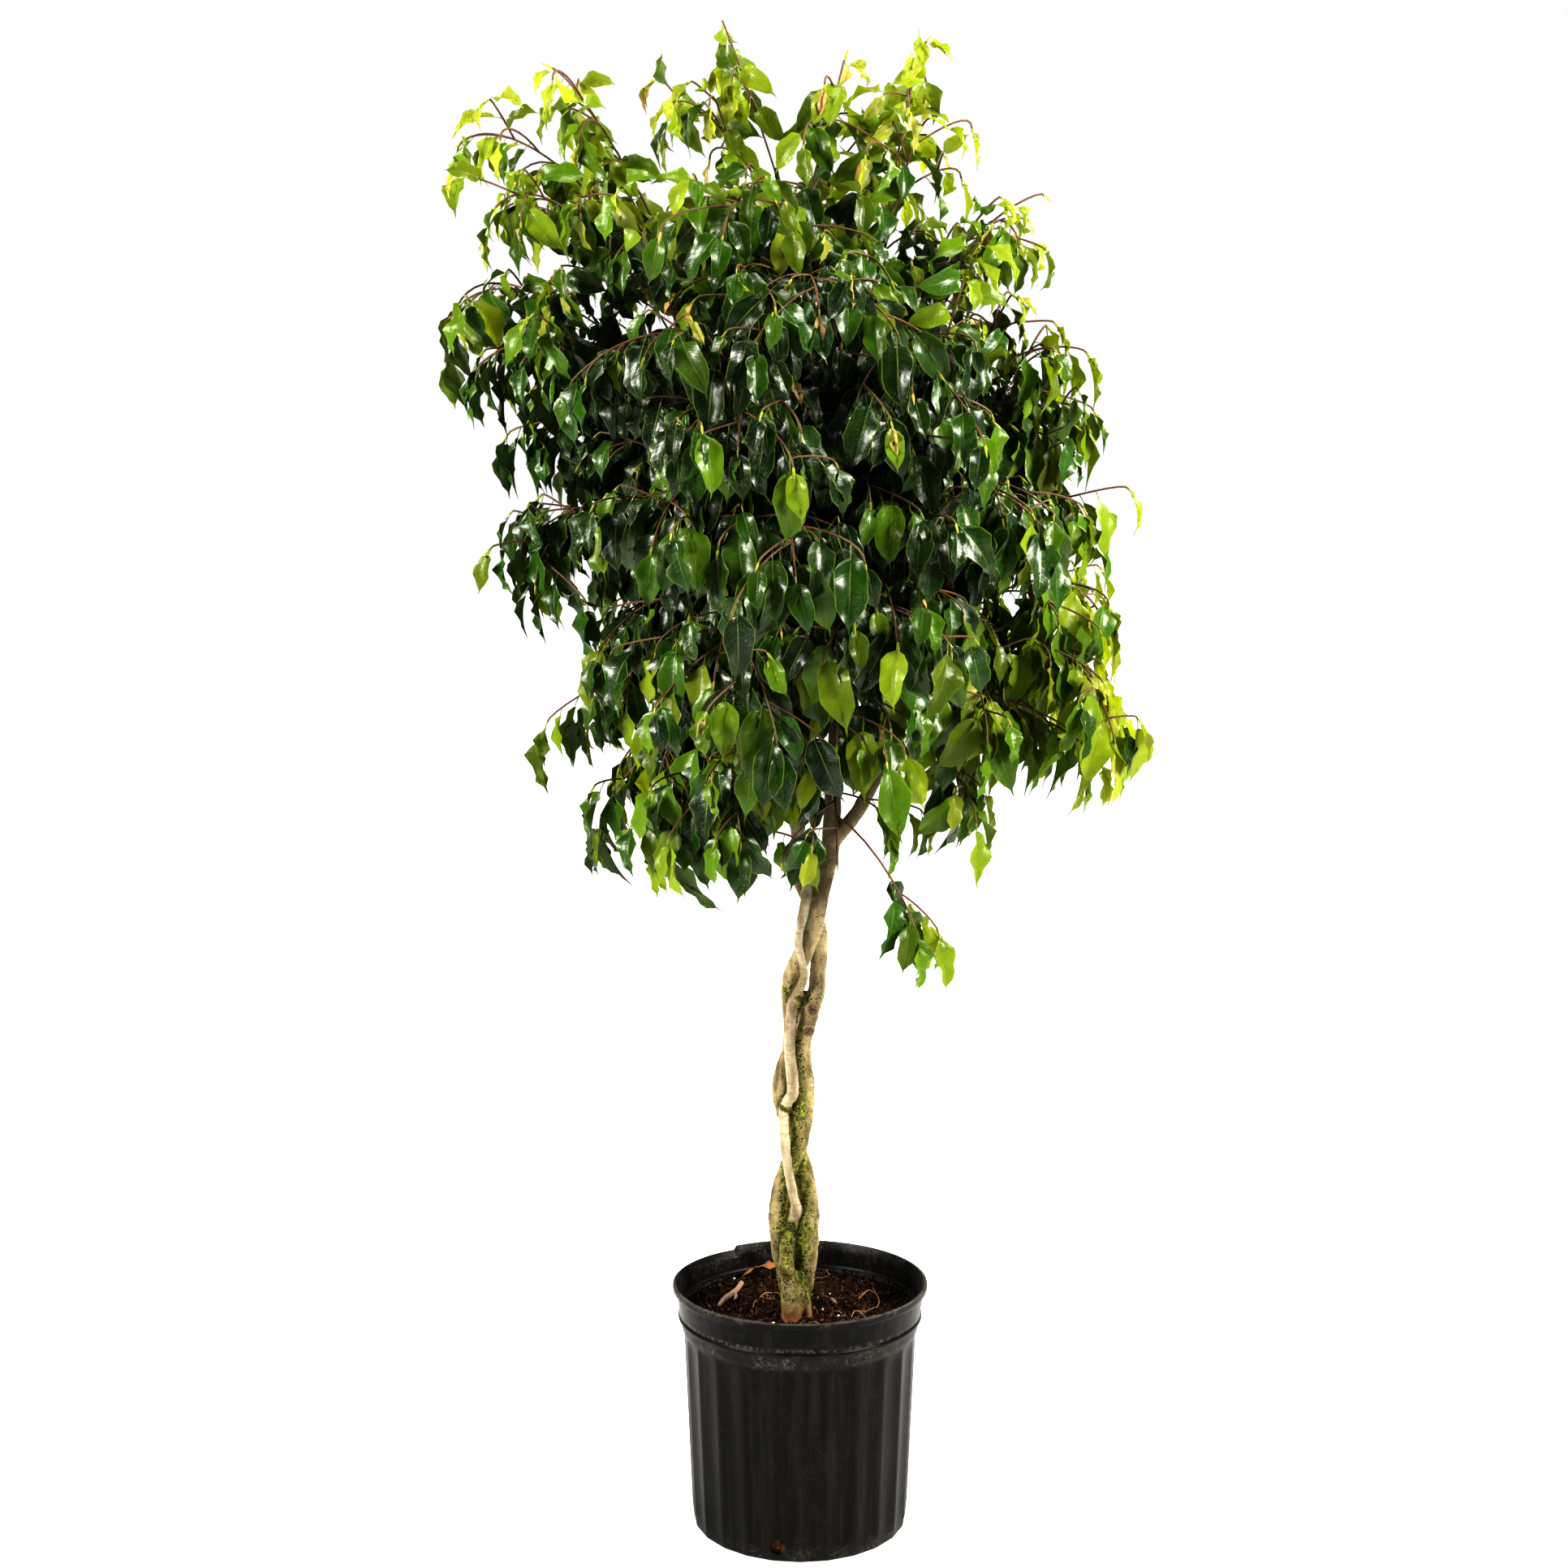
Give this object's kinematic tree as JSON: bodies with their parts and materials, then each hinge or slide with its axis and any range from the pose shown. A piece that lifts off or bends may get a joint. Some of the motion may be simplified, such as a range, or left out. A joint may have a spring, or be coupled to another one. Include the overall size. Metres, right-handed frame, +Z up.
{
  "type": "potted weeping fig",
  "caption": "Tall potted houseplant with a braided trunk, arching branches of small glossy drip-tipped leaves, and a fluted nursery can filled with soil.",
  "frame": {"origin": "middle of the pot's base, on the surface it stands on", "axes": "+Z up along the trunk, -Y towards the front, +X to the right as seen from the front"},
  "size_m": [0.7029, 0.6463, 1.5104],
  "materials": {
    "can": "moulded black, slightly dusty",
    "soil": "crumbly potting mix",
    "bark": "smooth grey-tan bark",
    "foliage": "glossy leaves on thin twigs",
    "dry_leaf": "dry",
    "dry_twig": "dry"
  },
  "bodies": {
    "root": {"fallen_leaf": "dry_leaf", "fallen_twig": "dry_twig", "leafy_branch_01": "foliage", "leafy_branch_02": "foliage", "leafy_branch_03": "foliage", "leafy_branch_04": "foliage", "leafy_branch_05": "foliage", "leafy_branch_06": "foliage", "leafy_branch_07": "foliage", "leafy_branch_08": "foliage", "leafy_branch_09": "foliage", "leafy_branch_10": "foliage", "leafy_branch_11": "foliage", "leafy_branch_12": "foliage", "leafy_branch_13": "foliage", "leafy_branch_14": "foliage", "leafy_branch_15": "foliage", "leafy_branch_16": "foliage", "leafy_branch_17": "foliage", "leafy_branch_18": "foliage", "leafy_branch_19": "foliage", "leafy_branch_20": "foliage", "leafy_branch_21": "foliage", "leafy_branch_22": "foliage", "leafy_branch_23": "foliage", "leafy_branch_24": "foliage", "leafy_branch_25": "foliage", "leafy_branch_26": "foliage", "leafy_branch_27": "foliage", "leafy_branch_28": "foliage", "leafy_branch_29": "foliage", "leafy_branch_30": "foliage", "leafy_branch_31": "foliage", "leafy_branch_32": "foliage", "leafy_branch_33": "foliage", "leafy_branch_34": "foliage", "leafy_branch_35": "foliage", "leafy_branch_36": "foliage", "leafy_branch_37": "foliage", "leafy_branch_38": "foliage", "leafy_branch_39": "foliage", "leafy_branch_40": "foliage", "leafy_branch_41": "foliage", "leafy_branch_42": "foliage", "leafy_branch_43": "foliage", "leafy_branch_44": "foliage", "leafy_branch_45": "foliage", "leafy_branch_46": "foliage", "leafy_branch_47": "foliage", "leafy_branch_48": "foliage", "pot": "can", "soil": "soil", "stem_front": "bark", "stem_left": "bark", "stem_right": "bark"}
  },
  "joints": []
}
